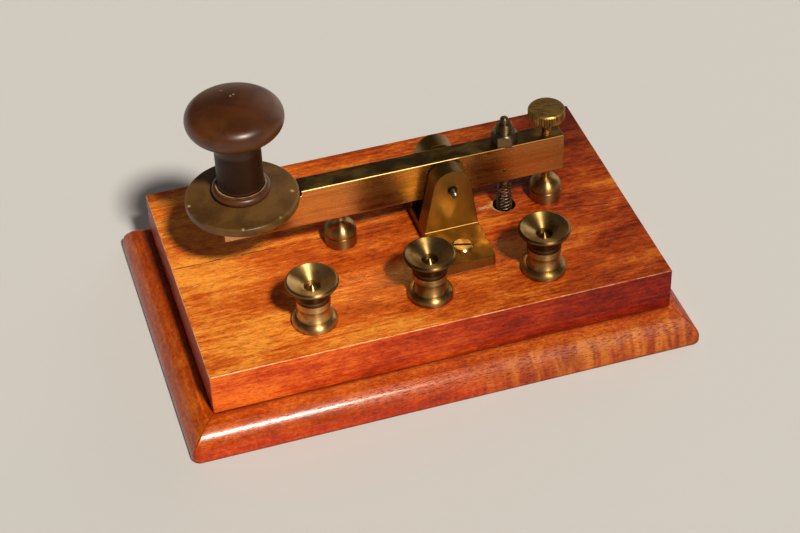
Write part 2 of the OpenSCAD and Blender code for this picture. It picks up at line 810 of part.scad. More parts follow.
// Dished nut: boss, flared underside, rolled rim and a shallow cone with a well
module terminal_nut(i) {
    rim_x = dish_d / 2 - dish_rim_r;
    rim_z = dish_h - dish_rim_r;
    boss_r = dish_boss_d / 2;
    well_r = dish_well_d / 2;
    color(old_brass) at_terminal(i) translate([0, 0, nut_seat]) rotate_extrude() difference() {
        union() {
            translate([rim_x, rim_z]) circle(dish_rim_r);
            difference() {
                square([rim_x, dish_h]);
                polygon([
                    [boss_r, -cut_past], [dish_d, -cut_past], [dish_d, rim_z - dish_rim_r],
                    [rim_x, rim_z - dish_rim_r], [boss_r, dish_boss_h]
                ]);
            }
        }
        polygon([
            [0, dish_h + cut_past], [0, dish_h - dish_depth], [well_r, dish_h - dish_depth],
            [rim_x, dish_h], [rim_x, dish_h + cut_past]
        ]);
        translate([0, dish_h - dish_depth - dish_well_h]) square([well_r, dish_well_h + cut_past]);
        square([stud_d / 2 + thread_gap, dish_h]);
    }
}

// What lies under the block

// Brass strip with round drilled ends, let up against the recess's ceiling
module strap(i) {
    ends = strap_ends[i];
    drilled = [0, norm(ends[1] - ends[0])];
    color(copper) on_block() translate([0, 0, ceiling - strap_t]) along(ends) linear_extrude(strap_t)
        difference() {
            union() {
                strip(ends, strap_w);
                for (x = drilled) {
                    translate([x, 0]) circle(d = strap_w);
                }
            }
            for (x = drilled) {
                translate([x, 0]) circle(d = stud_d + 2 * thread_gap);
            }
        }
}

// Puts its children below each stud, at the face that its washer seats on
module under_studs() {
    on_block() {
        for (p = strapped) {
            translate([p[0], p[1], ceiling - strap_t]) children();
        }
        for (p = unstrapped) {
            translate([p[0], p[1], ceiling]) children();
        }
    }
}

module under_washers() {
    color(old_brass) under_studs() translate([0, 0, -washer_t]) linear_extrude(washer_t) difference() {
        circle(washer_r);
        circle(d = stud_d + 2 * thread_gap);
    }
}

module under_nuts() {
    color(brass) under_studs() translate([0, 0, -washer_t]) mirror([0, 0, 1])
        hex_nut(nut_af, nut_h, stud_d + 2 * thread_gap);
}

// Flanged plug under the spring's hole: the spring pulls its flange up against the ceiling
module spring_anchor() {
    boss_r = spring_hole_d / 2 - recess_gap;
    color(old_brass) on_block() translate([x_spring, 0, ceiling]) rotate_extrude() difference() {
        union() {
            translate([0, -anchor_t]) square([anchor_d / 2, anchor_t]);
            square([boss_r, anchor_boss_h]);
        }
        translate([0, anchor_boss_h - 2 * wire_d]) square([wire_d / 2 + thread_gap, 2 * wire_d]);
    }
}

// Tension spring: one wire, from a straight end in the anchor, out into the curls and back to the rod
wire_low = ceiling + anchor_boss_h - 2 * wire_d + thread_gap;
wire_high = rod_end_h + 2 * wire_d - thread_gap;
wire_bend_h = 3 / 2 * wire_d;
coil_low = ceiling + anchor_boss_h + wire_bend_h;
coil_high = rod_end_h - wire_bend_h;
rings_per_turn = 8;
wire_sides = 6;
lead_turns = 0.5;
coil_rings = rings_per_turn * (coil_turns + 2 * lead_turns);

// Mean radius and height of the wire a share t of the way up the curls
function coil_grow(t) = min(1, t * (coil_turns + 2 * lead_turns) / lead_turns);
function coil_r(t) = (coil_low_r + (coil_high_r - coil_low_r) * t) * coil_grow(t) * coil_grow(1 - t);
function coil_z(t) = coil_low + (coil_high - coil_low) * (coil_even * t + (1 - coil_even) * t * t);
function coil_angle(t) = 360 * (coil_turns + 2 * lead_turns) * t;
function coil_point(t) = [coil_r(t) * cos(coil_angle(t)), coil_r(t) * sin(coil_angle(t)), coil_z(t)];
wire_path = concat(
    [[0, 0, wire_low], [0, 0, coil_low - wire_d / 2]],
    [for (i = [1 : coil_rings - 1]) coil_point(i / coil_rings)],
    [[0, 0, coil_high + wire_d / 2], [0, 0, wire_high]]
);

// Ring frames carried along the path without twisting
function unit(v) = v / norm(v);
function heading(path, i) =
    let (last = len(path) - 1)
    unit(unit(path[min(i + 1, last)] - path[min(i, last - 1)]) + unit(path[max(i, 1)] - path[max(i - 1, 0)]));
function carried(side, dir) = unit(side - (side * dir) * dir);
function ring_sides(path, i, side) =
    i == len(path) ? [] : let (s = carried(side, heading(path, i))) concat([s], ring_sides(path, i + 1, s));
function ring(centre, side, dir) =
    let (across = cross(dir, side))
    [for (k = [0 : wire_sides - 1])
        centre + wire_d / 2 * (cos(k * 360 / wire_sides) * side + sin(k * 360 / wire_sides) * across)];

// Least distance between wire points more than half a turn apart, less the wire's thickness
least_gap = min([
    for (i = [0 : len(wire_path) - 1], j = [i + rings_per_turn / 2 : len(wire_path) - 1])
        if (j < len(wire_path)) norm(wire_path[i] - wire_path[j])
]) - wire_d;

module tension_spring() {
    path = wire_path;
    sides = ring_sides(path, 0, [1, 0, 0]);
    last = len(path) - 1;
    points = [for (i = [0 : last]) each ring(path[i], sides[i], heading(path, i))];
    walls = [
        for (i = [0 : last - 1], k = [0 : wire_sides - 1])
            let (a = i * wire_sides + k, b = i * wire_sides + (k + 1) % wire_sides)
            each [[a, a + wire_sides, b], [b, a + wire_sides, b + wire_sides]]
    ];
    start_cap = [for (k = [1 : wire_sides - 2]) [0, k, k + 1]];
    end_cap = [for (k = [1 : wire_sides - 2]) [0, k + 1, k] + last * wire_sides * [1, 1, 1]];
    echo(spring_least_gap = least_gap);
    color(steel) on_block() translate([x_spring, 0, 0])
        polyhedron(points, concat(walls, start_cap, end_cap));
}

plinth();
block();
base_screws();
bridge();
bridge_screws();
front_anvil();
rear_anvil();
terminal_post(0);  // terminal_post_left
terminal_post(1);  // terminal_post_middle
terminal_post(2);  // terminal_post_right
terminal_stud(0);  // terminal_stud_left
terminal_stud(1);  // terminal_stud_middle
terminal_stud(2);  // terminal_stud_right
terminal_nut(0);  // terminal_nut_left
terminal_nut(1);  // terminal_nut_middle
terminal_nut(2);  // terminal_nut_right
strap(0);  // strap_front
strap(1);  // strap_bridge
strap(2);  // strap_rear
under_washers();
under_nuts();
spring_anchor();
tension_spring();
lever();
pivot_pin();
hammer();
knob();
finger_guard();
knob_stud();
spring_rod();
spring_nut();
back_contact_screw();
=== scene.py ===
import json
import math

import bpy
from mathutils import Matrix, Vector

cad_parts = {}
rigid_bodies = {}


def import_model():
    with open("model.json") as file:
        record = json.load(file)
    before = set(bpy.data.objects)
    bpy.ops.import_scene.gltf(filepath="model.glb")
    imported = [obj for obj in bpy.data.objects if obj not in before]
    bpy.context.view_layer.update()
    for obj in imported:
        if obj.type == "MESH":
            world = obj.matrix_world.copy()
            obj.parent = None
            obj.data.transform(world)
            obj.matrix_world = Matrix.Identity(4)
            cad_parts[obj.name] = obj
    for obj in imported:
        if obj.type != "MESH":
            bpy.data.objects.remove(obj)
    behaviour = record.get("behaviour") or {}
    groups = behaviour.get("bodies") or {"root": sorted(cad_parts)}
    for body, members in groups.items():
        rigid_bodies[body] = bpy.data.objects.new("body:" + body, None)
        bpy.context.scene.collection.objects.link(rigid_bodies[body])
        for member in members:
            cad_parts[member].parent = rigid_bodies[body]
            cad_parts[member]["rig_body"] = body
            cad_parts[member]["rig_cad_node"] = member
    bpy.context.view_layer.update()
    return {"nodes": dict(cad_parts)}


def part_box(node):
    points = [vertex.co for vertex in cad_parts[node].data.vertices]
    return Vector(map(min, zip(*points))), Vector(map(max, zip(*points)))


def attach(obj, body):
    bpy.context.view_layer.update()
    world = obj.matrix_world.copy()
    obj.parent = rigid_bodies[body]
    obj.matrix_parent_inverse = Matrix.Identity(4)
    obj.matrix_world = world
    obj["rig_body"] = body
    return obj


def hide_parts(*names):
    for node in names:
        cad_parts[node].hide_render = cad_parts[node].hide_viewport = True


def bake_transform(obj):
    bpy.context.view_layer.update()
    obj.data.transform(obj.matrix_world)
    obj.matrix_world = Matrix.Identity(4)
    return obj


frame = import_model()
nodes = frame["nodes"]
perMetre = 1000.0                    # all sizes below are in mm
mm = 1 / perMetre
joinWithin = 0.001 * mm              # points closer than this are one point
print("frame loaded,", len(nodes), "nodes")


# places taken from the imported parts
def boxOf(name):
    low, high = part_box(name)
    return low / mm, high / mm


def middle(name):
    low, high = boxOf(name)
    return (low + high) / 2


# selection helpers
def pickNone():
    if bpy.context.mode != "OBJECT":
        bpy.ops.object.mode_set(mode="OBJECT")
    bpy.ops.object.select_all(action="DESELECT")


def pick(piece):
    pickNone()
    piece.select_set(True)
    bpy.context.view_layer.objects.active = piece


# camera, fitted to the photo's frame of 800 x 533
cameraView = {
    "place": (-0.13927, -0.49348, 0.45115),
    "yaw": -15.735,
    "pitch": 49.386,
    "roll": -2.344,
    "lens": 91.34,
    "sensor": 36.0,
}


def makeCamera(view):
    pickNone()
    bpy.ops.object.camera_add()
    camera = bpy.context.object
    camera.name = "camera"
    yaw = Matrix.Rotation(math.radians(view["yaw"]), 4, "Z")
    pitch = Matrix.Rotation(math.radians(view["pitch"]), 4, "X")
    roll = Matrix.Rotation(math.radians(view["roll"]), 4, "Z")
    camera.matrix_world = Matrix.Translation(view["place"]) @ yaw @ pitch @ roll
    camera.data.lens = view["lens"]
    camera.data.sensor_width = view["sensor"]
    bpy.context.scene.camera = camera
    print("camera set")


makeCamera(cameraView)


# colours are written as they look, and turned linear here
def paint(look):
    parts = [int(look[i:i + 2], 16) / 255 for i in (1, 3, 5)]
    return tuple(p / 12.92 if p <= 0.04045 else ((p + 0.055) / 1.055) ** 2.4 for p in parts) + (1.0,)


# one socket, so that sums on it read as plain maths
class Val:
    def __init__(self, sheet, socket):
        self.sheet = sheet
        self.socket = socket

    def maths(self, operation, *others):
        return self.sheet.add("Math", {"operation": operation}, dict(enumerate((self,) + others)))

    def turned(self, operation, other):
        return self.sheet.add("Math", {"operation": operation}, {0: other, 1: self})

    def __add__(self, other):
        return self.maths("ADD", other)

    def __sub__(self, other):
        return self.maths("SUBTRACT", other)

    def __mul__(self, other):
        return self.maths("MULTIPLY", other)

    def __truediv__(self, other):
        return self.maths("DIVIDE", other)

    def __pow__(self, other):
        return self.maths("POWER", other)

    def __rsub__(self, other):
        return self.turned("SUBTRACT", other)

    def __rtruediv__(self, other):
        return self.turned("DIVIDE", other)

    def __abs__(self):
        return self.maths("ABSOLUTE")

    __radd__ = __add__
    __rmul__ = __mul__

    def least(self, other):
        return self.maths("MINIMUM", other)

    def most(self, other):
        return self.maths("MAXIMUM", other)

    def swing(self):                             # a noise about zero
        return self - 0.5


def distance(a, b):
    return (a * a + b * b) ** 0.5


# a node tree, and the one way that nodes get into it
class Sheet:
    def __init__(self, tree):
        self.tree = tree

    def add(self, kind, settings, inputs, output=0):
        made = self.tree.nodes.new("ShaderNode" + kind)
        for key, value in settings.items():
            if key == "stops":
                ramp = made.color_ramp
                while len(ramp.elements) < len(value):
                    ramp.elements.new(1.0)
                for element, (position, colour) in zip(ramp.elements, value):
                    element.position = position
                    element.color = paint(colour)
            else:
                setattr(made, key, value)
        for key, value in inputs.items():
            self.feed(made.inputs[key], value)
        return Val(self, made.outputs[output])

    def feed(self, socket, value):
        if isinstance(value, Val):
            self.tree.links.new(value.socket, socket)
        else:
            socket.default_value = paint(value) if isinstance(value, str) else value


# a material under construction
class Look(Sheet):
    def __init__(self, name, centre=(0, 0, 0)):
        self.material = bpy.data.materials.new(name)
        self.material.use_nodes = True
        super().__init__(self.material.node_tree)
        self.shader = self.tree.nodes["Principled BSDF"]
        here = self.add("TexCoord", {}, {}, "Object")
        shift = tuple(-c * mm for c in centre)
        self.start = self.add("Mapping", {}, {"Vector": here, "Location": shift})
        self.place = self.start

    def dress(self, sockets):
        for key, value in sockets.items():
            self.feed(self.shader.inputs[key], value)
        return self.material

    def axis(self, letter):                      # a coordinate in mm
        return self.add("SeparateXYZ", {}, {0: self.place}, letter) * perMetre

    def facing(self, letter):
        normal = self.add("NewGeometry", {}, {}, "Normal")
        return self.add("SeparateXYZ", {}, {0: normal}, letter)

    def noise(self, size, detail=2.0, rough=0.5, twist=0.0, seed=(0, 0, 0)):
        scale = tuple(perMetre / s for s in size)
        spot = self.add("Mapping", {}, {"Vector": self.place, "Scale": scale, "Location": seed})
        values = {"Vector": spot, "Scale": 1.0, "Detail": detail, "Roughness": rough, "Distortion": twist}
        return self.add("TexNoise", {}, values)

    def rings(self, outward, along, detail, rough):
        spot = self.add("CombineXYZ", {}, {0: outward, 1: along, 2: 0.0})
        return self.add("TexNoise", {}, {"Vector": spot, "Scale": 1.0, "Detail": detail, "Roughness": rough})

    def ease(self, value, low, high):
        return self.add("MapRange", {"interpolation_type": "SMOOTHSTEP"},
                        {"Value": value, "From Min": low, "From Max": high})

    def spread(self, share, limits):             # 0 gives the first limit, 1 the second
        return share * (limits[1] - limits[0]) + limits[0]

    def mix(self, share, first, second, mode="MIX"):
        return self.add("Mix", {"data_type": "RGBA", "blend_type": mode}, {0: share, 6: first, 7: second}, 2)

    def bump(self, height, depth):
        return self.add("Bump", {}, {"Strength": 1.0, "Distance": depth * mm, "Height": height}, "Normal")

    def openness(self, reach, samples, alone=True):
        settings = {"samples": samples, "only_local": alone}
        return self.add("AmbientOcclusion", settings, {"Distance": reach * mm}, "AO")

    def near(self, point, radius, soft):         # 1 inside a ball round a point
        spot = self.add("VectorMath", {"operation": "DISTANCE"},
                        {0: self.place, 1: tuple(p * mm for p in point)}, "Value")
        return self.ease(spot, (radius + soft) * mm, radius * mm)

    def turning(self):                           # radius from the piece's own upright axis
        return distance(self.axis("X"), self.axis("Y"))

    def toEdge(self, low, high):                 # distance to the nearest edge of a box
        a, b, c = [(self.axis(letter) - lo).least(hi - self.axis(letter))
                   for letter, lo, hi in zip("XYZ", low, high)]
        return a.least(b).most(a.most(b).least(c))


# what the two woods share; each wood gives the sizes of its own figure
woodGrain = {
    "layers": {
        "bands": {"detail": 3.0, "rough": 0.55, "twist": 0.3},
        "mottle": {"detail": 3.0, "rough": 0.55, "twist": 0.4, "seed": (3, 1, 7)},
        "lines": {"detail": 3.0, "rough": 0.6, "twist": 0.1, "seed": (6, 2, 2)},
        "fibres": {"detail": 4.0, "rough": 0.65, "twist": 0.15},
        "fleck": {"detail": 4.0, "rough": 0.68, "twist": 0.2, "seed": (4, 9, 1)},
        "pores": {"detail": 2.0, "rough": 0.5, "twist": 0.1, "seed": (9, 4, 2)},
    },
    "tone": 0.5,
    "stops": {"dark": 0.10, "deep": 0.30, "body": 0.48, "gold": 0.66},
    "upright": (0.7, 0.2), "upward": (0.6, 0.9),
    "relief": {"fibres": 0.4, "fleck": 0.6},
    "ragged": {"size": (1.6, 0.7, 0.7), "detail": 3.0, "rough": 0.65, "twist": 0.3, "seed": (1, 1, 8)},
    "worn": {"size": (12, 12, 12), "detail": 3.0, "rough": 0.65, "seed": (2, 2, 2)},
    "wornIn": (0.38, 0.58), "wornBelowTop": (2.0, 0.5), "wornJitter": 0.5, "wornCore": 0.4, "wornShare": 0.8,
    # the corner darkening is painted shade, with dust
    "corner": {"reach": 3.5, "samples": 8, "alone": False}, "cornerIn": (0.80, 0.35), "cornerShare": 0.7,
    "smear": {"size": (28, 14, 14), "detail": 3.0, "rough": 0.6, "twist": 0.3, "seed": (2, 8, 4)},
    "smearIn": (0.3, 0.7), "poreRough": 0.12, "coatRough": 0.12,
    "crackSway": {"size": (9, 400, 400), "detail": 3.0, "rough": 0.6}, "crackBow": 2.0,
    "crackGaps": {"size": (7, 30, 30), "detail": 2.0, "rough": 0.6}, "crackGapsIn": (0.36, 0.52),
    "crackEnds": (-1, 3, 1, -6), "crackSoft": 2.4, "crackShare": 0.8,
    "mitreSoft": 2.0, "mitreShare": 0.6,
}

blockWood = {
    "gold": "#fca23c", "body": "#d2601a", "deep": "#943608", "dark": "#581a03",
    # the flank tint is painted shade on upright faces
    "pore": "#451405", "worn": "#f6d8ac", "flank": "#f0b4a0",
    "bands": (170, 10, 10), "mottle": (22, 10, 10), "lines": (120, 0.9, 0.9),
    "fibres": (14, 0.40, 0.40), "fleck": (3.2, 1.0, 1.0), "pores": (1.6, 0.24, 0.24),
    "weights": {"bands": 0.34, "mottle": 0.50, "lines": 0.26, "fibres": 0.22, "fleck": 0.44},
    "poreIn": (0.55, 0.68), "poreDark": 0.55,
    "roughness": (0.24, 0.40), "coat": 0.06, "shine": 0.18, "depth": 0.04,
    # painted light and shade: darker to the right, at the back and on upright faces, lighter at the left end;
    # the next line multiplies in more painted shade towards the right end and far corner
    "paintedLightAndShade": {"from": -55, "right": 0.05, "back": 0.05, "sides": 0.03, "left": 0.08},
    "paintedFalloff": {"from": -55, "corner": 5, "end": "#cab4a0", "sides": "#ce947c", "far": "#8c6460"},
    "bolder": {"from": -40, "share": (1.1, 1.5)},
    "endGrain": {"pith": (-22, -62), "ring": 1.7, "drift": 0.012, "detail": 3.0, "rough": 0.55,
                 "facing": (0.6, 0.9), "rings": 0.55, "fleck": 0.35, "tone": -0.07},
    "wearWidth": 0.34,
    "cracks": [
        {"from": (-75, 7.1), "to": (2, 5.9), "width": 0.14},
        {"from": (27.8, -0.6), "to": (77, -9.0), "width": 0.14},
    ],
    "chip": {"from": 28.3, "to": 34.4, "ends": (-0.4, 1.5, 0.2), "y": 3.4, "half": 0.75, "tear": 5.0,
             "edge": (1.1, 0.6), "hole": (37.5, 3.19), "rim": 3.75, "rimEdge": (0.75, 0.3), "rimTear": 1.2,
             "rimEnds": (-0.5, -2.5), "fibresIn": (0.25, 0.5), "colour": "#e6c094", "share": 0.85, "depth": 2.0},
}

plinthWood = {
    "gold": "#d67222", "body": "#ac420a", "deep": "#722406", "dark": "#441303",
    # the flank tint is painted shade on upright faces
    "pore": "#3a1105", "worn": "#e6b884", "flank": "#ffbe9c",
    "bands": (150, 10, 10), "mottle": (15, 8, 8), "lines": (90, 1.1, 1.1),
    "fibres": (16, 0.45, 0.45), "fleck": (1.6, 1.0, 1.6), "pores": (1.8, 0.28, 0.28),
    "weights": {"bands": 0.30, "mottle": 0.36, "lines": 0.20, "fibres": 0.18, "fleck": 0.44},
    "poreIn": (0.56, 0.68), "poreDark": 0.4,
    "roughness": (0.17, 0.25), "coat": 0.08, "shine": 0.28, "depth": 0.11,
    "dulls": {"from": -62, "to": 10, "by": 0.34, "relief": (0.2, 1.0)},
    # painted shade: darker to the right and at the back
    "paintedLightAndShade": {"from": -55, "right": 0.06, "back": 0.05, "sides": 0.0, "left": 0.0},
    "wearWidth": 0.3,
    "ripple": {"from": -4, "to": 34, "front": (-48, -52), "bend": 1.5,
               "curl": {"size": (9, 5, 2.2), "detail": 2.0, "rough": 0.5, "twist": 0.3, "seed": (1, 3, 2)},
               "waves": {"size": (3.4, 12, 18), "detail": 2.0, "rough": 0.5, "twist": 0.5, "seed": (5, 5, 1)},
               "brown": "#8c4610", "brownShare": 0.4, "light": "#cc7828", "lightIn": (0.40, 0.68),
               "lightShare": 0.65, "deepIn": (0.50, 0.32), "deepShare": 0.35},
    "mitre": 0.12, "sideShift": 0.3,
}


# pale curled figure across the front of the plinth
def rippled(look, wood, colour, x, y, z):
    ripple = wood["ripple"]
    curl = look.noise(**ripple["curl"])
    look.place = look.add("CombineXYZ", {}, {0: (x + curl * ripple["bend"]) * mm, 1: y * mm, 2: z * mm})
    waves = look.noise(**ripple["waves"])
    look.place = look.start
    share = look.ease(x, ripple["from"], ripple["to"]) * look.ease(y, *ripple["front"])
    colour = look.mix(share * ripple["brownShare"], colour, ripple["brown"])
    pale = look.ease(waves, *ripple["lightIn"])
    colour = look.mix(pale * share * ripple["lightShare"], colour, ripple["light"])
    dusky = look.ease(waves, *ripple["deepIn"])
    return look.mix(dusky * share * ripple["deepShare"], colour, wood["deep"])


# a fine broken crack along the grain
def cracked(look, crack, x, y):
    (x0, y0), (x1, y1) = crack["from"], crack["to"]
    sway = look.noise(**woodGrain["crackSway"], seed=(0, y0, 0)).swing() * woodGrain["crackBow"]
    line = abs(y - ((x - x0) * ((y1 - y0) / (x1 - x0)) + y0 + sway))
    out0, in0, out1, in1 = woodGrain["crackEnds"]
    along = look.ease(x, x0 + out0, x0 + in0) * look.ease(x, x1 + out1, x1 + in1)
    gaps = look.ease(look.noise(**woodGrain["crackGaps"], seed=(0, 0, y0)), *woodGrain["crackGapsIn"])
    return look.ease(line, crack["width"] * woodGrain["crackSoft"], crack["width"]) * along * gaps


# torn wood beside the spring's hole, and a crescent on its rim
def chipped(look, chip, ragged, x, y):
    off = abs(y - chip["y"]) / chip["half"] + ragged.swing() * chip["tear"]
    start, full, end = chip["ends"]
    torn = look.ease(off, *chip["edge"]) * look.ease(x, chip["from"] + start, chip["from"] + full)
    torn = torn * look.ease(x, chip["to"] + end, chip["to"])
    holeX, holeY = chip["hole"]
    outer, inner = chip["rimEdge"]
    fromHole = distance(x - holeX, y - holeY) + ragged.swing() * chip["rimTear"]
    crescent = look.ease(fromHole, chip["rim"] + outer, chip["rim"] + inner)
    near, far = chip["rimEnds"]
    torn = torn.most(crescent * look.ease(x, holeX + near, holeX + far))
    return torn * look.ease(look.facing("Z"), *woodGrain["upward"])


# varnished mahogany: bands and fibres along the grain, short open pores, rubbed edges
def mahogany(name, wood, low, high):
    look = Look(name)
    x, y, z = [look.axis(letter) for letter in "XYZ"]
    if "mitre" in wood:                          # the frame's short sides have their grain along Y
        toSide, toFront = (x - low.x).least(high.x - x), (y - low.y).least(high.y - y)
        turned = look.add("CombineXYZ", {}, {0: y * mm + wood["sideShift"], 1: x * mm, 2: z * mm})
        look.place = look.add("Mix", {"data_type": "VECTOR"},
                              {0: toSide.maths("LESS_THAN", toFront), 4: look.place, 5: turned}, 1)
    layer = {key: look.noise(wood[key], **shape) for key, shape in woodGrain["layers"].items()}
    look.place = look.start
    pores = look.ease(layer["pores"], *wood["poreIn"])

    # tone, from dark to gold
    # painted light and shade in the tone: darker to the right, at the back and on upright faces, lighter at the
    # left end
    paintedLightAndShade = wood["paintedLightAndShade"]
    upright = look.ease(look.facing("Z"), *woodGrain["upright"])
    shade = (look.ease(x, paintedLightAndShade["from"], high.x) * paintedLightAndShade["right"]
             + look.ease(y, 0, high.y) * paintedLightAndShade["back"]
             + upright * paintedLightAndShade["sides"] - look.ease(x, 0, low.x) * paintedLightAndShade["left"])
    figured = sum(layer[key].swing() * share for key, share in wood["weights"].items())
    if "bolder" in wood:                         # the figure shows more to the right
        bolder = wood["bolder"]
        figured = figured * look.spread(look.ease(x, bolder["from"], high.x), bolder["share"])
    tone = woodGrain["tone"] - shade + figured
    if "endGrain" in wood:                       # growth rings where the block is sawn across
        ends = wood["endGrain"]
        pithY, pithZ = ends["pith"]
        rings = look.rings(distance(y - pithY, z - pithZ) / ends["ring"], y * ends["drift"],
                           ends["detail"], ends["rough"])
        across = look.ease(abs(look.facing("X")), *ends["facing"])
        ringTone = rings * ends["rings"] + layer["fleck"] * ends["fleck"] + ends["tone"] - shade
        tone = tone * (1.0 - across) + ringTone * across
    stops = [(place, wood[key]) for key, place in woodGrain["stops"].items()]
    colour = look.add("ValToRGB", {"stops": stops}, {"Fac": tone})
    # upright faces multiplied darker and redder than the top: painted shade on the sides
    colour = look.mix(upright, colour, wood["flank"], "MULTIPLY")

    # marks on it
    if "ripple" in wood:
        colour = rippled(look, wood, colour, x, y, z)
    colour = look.mix(pores * wood["poreDark"], colour, wood["pore"])
    height = layer["fibres"] * woodGrain["relief"]["fibres"] - pores
    for crack in wood.get("cracks", []):
        mark = cracked(look, crack, x, y)
        colour = look.mix(mark * woodGrain["crackShare"], colour, wood["pore"])
        height = height - mark
    ragged = look.noise(**woodGrain["ragged"])
    if "chip" in wood:
        chip = wood["chip"]
        torn = chipped(look, chip, ragged, x, y)
        stringy = look.ease(layer["fibres"], *chip["fibresIn"])
        colour = look.mix(torn * stringy * chip["share"], colour, chip["colour"])
        height = height - torn * chip["depth"]
    if "mitre" in wood:
        joint = look.ease(abs(toSide - toFront), wood["mitre"] * woodGrain["mitreSoft"], wood["mitre"])
        colour = look.mix(joint * woodGrain["mitreShare"], colour, wood["pore"])

    # rubbed upper edges, painted shade towards the right end, painted shade and dust in the corners
    toEdge = look.toEdge(low, high) + ragged.swing() * woodGrain["wornJitter"]
    rubbed = look.ease(toEdge, wood["wearWidth"], wood["wearWidth"] * woodGrain["wornCore"])
    rubbed = rubbed * look.ease(look.noise(**woodGrain["worn"]), *woodGrain["wornIn"])
    rubbed = rubbed * look.ease(z, *(high.z - below for below in woodGrain["wornBelowTop"]))
    colour = look.mix(rubbed * woodGrain["wornShare"], colour, wood["worn"])
    if "paintedFalloff" in wood:                           # painted shade: light falling off to the right, on the right's upright faces and at the far corner
        paintedFalloff = wood["paintedFalloff"]
        along = look.ease(x, paintedFalloff["from"], high.x)
        inward = look.ease(x, paintedFalloff["corner"], high.x) * look.ease(y, 0, high.y)
        for share, tint in ((along, "end"), (along * upright, "sides"), (inward, "far")):
            colour = look.mix(share, colour, paintedFalloff[tint], "MULTIPLY")
    # darker where corners and joints close in: painted shade, with dust
    corner = look.ease(look.openness(**woodGrain["corner"]), *woodGrain["cornerIn"])
    colour = look.mix(corner * woodGrain["cornerShare"], colour, wood["dark"])

    # varnish
    smear = look.ease(look.noise(**woodGrain["smear"]), *woodGrain["smearIn"])
    rough = look.spread(smear, wood["roughness"]) + pores * woodGrain["poreRough"]
    height = height + layer["fleck"] * woodGrain["relief"]["fleck"]
    if "dulls" in wood:                          # the varnish is best kept at one end
        dulls = wood["dulls"]
        gone = look.ease(x, dulls["from"], dulls["to"])
        rough = rough + gone * dulls["by"]
        height = height * look.spread(gone, dulls["relief"])
    return look.dress({
        "Base Color": colour,
        "Roughness": rough,
        "Normal": look.bump(height, wood["depth"]),
        "Specular IOR Level": wood["shine"],
        "Coat Weight": wood["coat"],
        "Coat Roughness": woodGrain["coatRough"],
    })


# what all sawn and filed brass shares
filing = {
    "layers": {
        "brush": {"detail": 3.0, "rough": 0.6},
        "broad": {"detail": 3.0, "rough": 0.55, "twist": 0.2, "seed": (1, 6, 3)},
        "blotch": {"detail": 4.0, "rough": 0.6, "twist": 0.5, "seed": (7, 2, 5)},
        "scratch": {"detail": 1.0, "rough": 0.5, "seed": (3, 8, 8)},
    },
    "scratchIn": (0.66, 0.74), "upwardIn": (0.60, 0.97), "brightIn": (0.34, 0.66), "spotsIn": (0.54, 0.78),
    "oliveIn": (0.25, 0.60), "linesIn": (0.48, 0.72),
    "edge": (0.5, 0.15), "edgeJitter": 0.6, "edgeRough": 0.16, "upwardRough": 0.08,
    "smear": {"blotch": 0.6, "brush": 0.4}, "smearIn": (0.3, 0.7),
    "depth": 0.010, "scratchDepth": 0.8,
}

leverBrass = {
    "bright": "#e6bc6c", "body": "#d6a85a", "tarnishAndShade": "#7c5426", "olive": "#3a2912", "rub": "#f0d090",
    "brush": (24, 0.15, 0.15), "broad": (60, 1.6, 1.2), "blotch": (11, 6, 4), "scratch": (50, 0.22, 0.22),
    "topPatinaAndReflection": 0.85, "rubbed": 0.5, "spots": 0.25, "lines": 0.22,
    "roughness": (0.22, 0.34),
    # painted shade: darker towards the right end, where the light falls off
    "darkens": {"from": -24, "to": 22, "by": 0.34},
    "rubEnds": {"from": 22, "to": 19, "brown": 0.8},
    # the tip: bare filed metal, and a painted highlight
    "tip": {"colour": "#fff0b4", "x": (-48.0, -51.0), "z": (44.0, 41.5), "facing": (-0.5, -0.9), "dull": 0.7},
}

bridgeBrass = {
    "bright": "#8e6e37", "body": "#846530", "tarnishAndShade": "#503718", "olive": "#4e3a1c", "rub": "#f0d498",
    "brush": (6, 6, 0.16), "broad": (5, 12, 12), "blotch": (7, 7, 6), "scratch": (40, 40, 0.2),
    "topPatinaAndReflection": 0.65, "rubbed": 0.8, "spots": 0.2, "lines": 0.15,
    "roughness": (0.32, 0.46),
    # a dark spot by the pivot pin: a stain and the pin's painted shadow
    "stainAndPinShadow": {"place": (16.2, -10.2, 43.4), "radius": 0.9, "soft": 1.6, "blotchIn": (0.3, 0.6), "share": 0.7},
}

strapBrass = {
    "bright": "#b08a50", "body": "#8c6a38", "tarnishAndShade": "#5b4120", "olive": "#6a5530", "rub": "#d0b070",
    "brush": (9, 9, 0.5), "broad": (12, 12, 6), "blotch": (6, 6, 6), "scratch": (30, 0.3, 0.3),
    "topPatinaAndReflection": 0.4, "rubbed": 0.6, "spots": 0.35, "lines": 0.25,
    "roughness": (0.36, 0.55),
}
